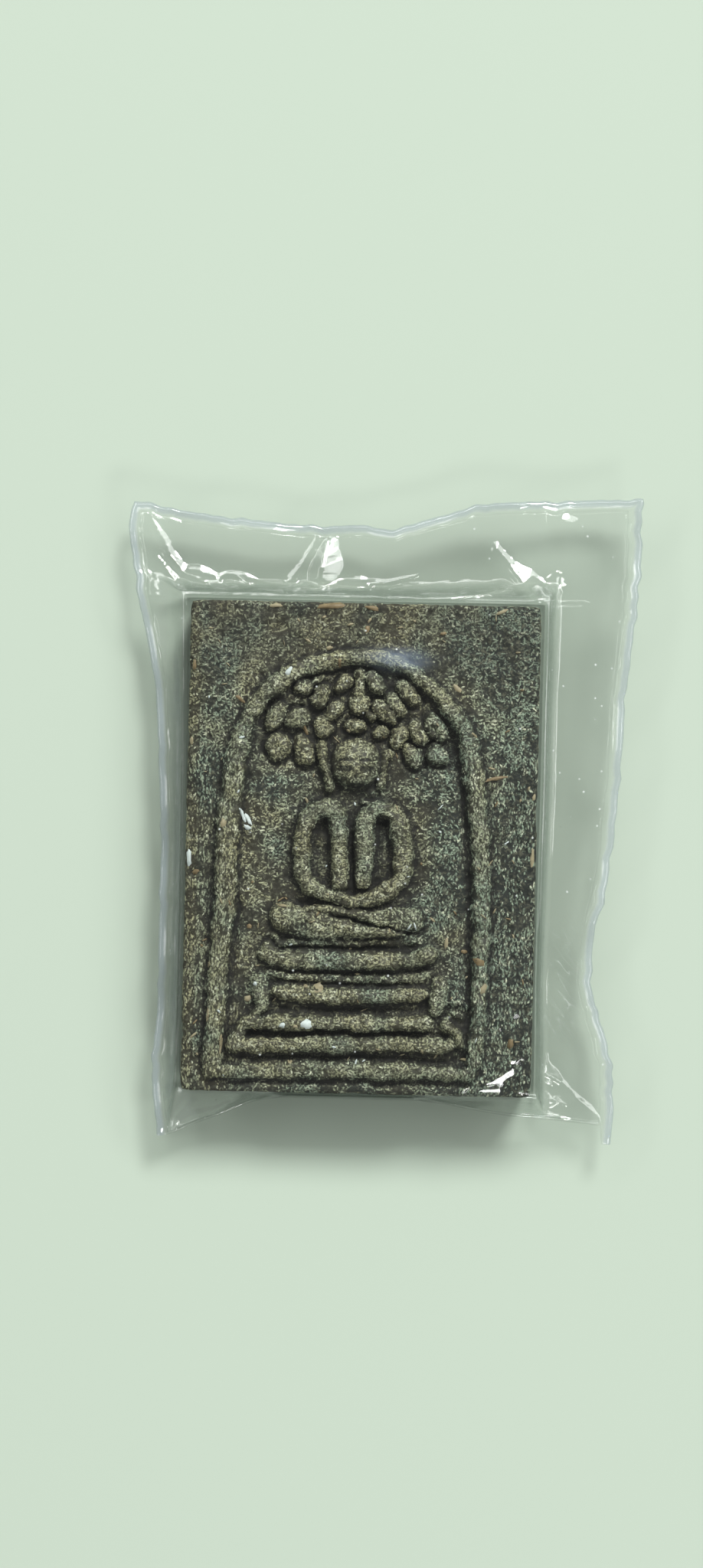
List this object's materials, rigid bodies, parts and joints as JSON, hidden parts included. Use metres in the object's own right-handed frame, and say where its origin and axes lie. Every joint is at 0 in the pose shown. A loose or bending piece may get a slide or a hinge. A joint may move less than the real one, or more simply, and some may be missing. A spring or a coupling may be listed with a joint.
{
  "type": "pressed amulet tablet in a clear film sleeve",
  "caption": "Flat pressed amulet tablet with a seated figure in raised relief under an arch of leaves, lying face up in a clear film sleeve with welded edges.",
  "frame": {"origin": "on the surface that the sleeve lies on, under the middle of the tablet", "axes": "+X to the right of the face, +Y from the figure's seat to its head, +Z out of the face, away from the surface"},
  "size_m": [0.0368, 0.0464, 0.006],
  "materials": {
    "pressed_powder": "dark olive powder pressed with pale flecks and fibres, satin where rubbed",
    "clear_film": "clear glossy film with welded, slightly wavy edges"
  },
  "bodies": {
    "root": {"tablet": "pressed_powder", "sleeve": "clear_film"}
  },
  "joints": []
}
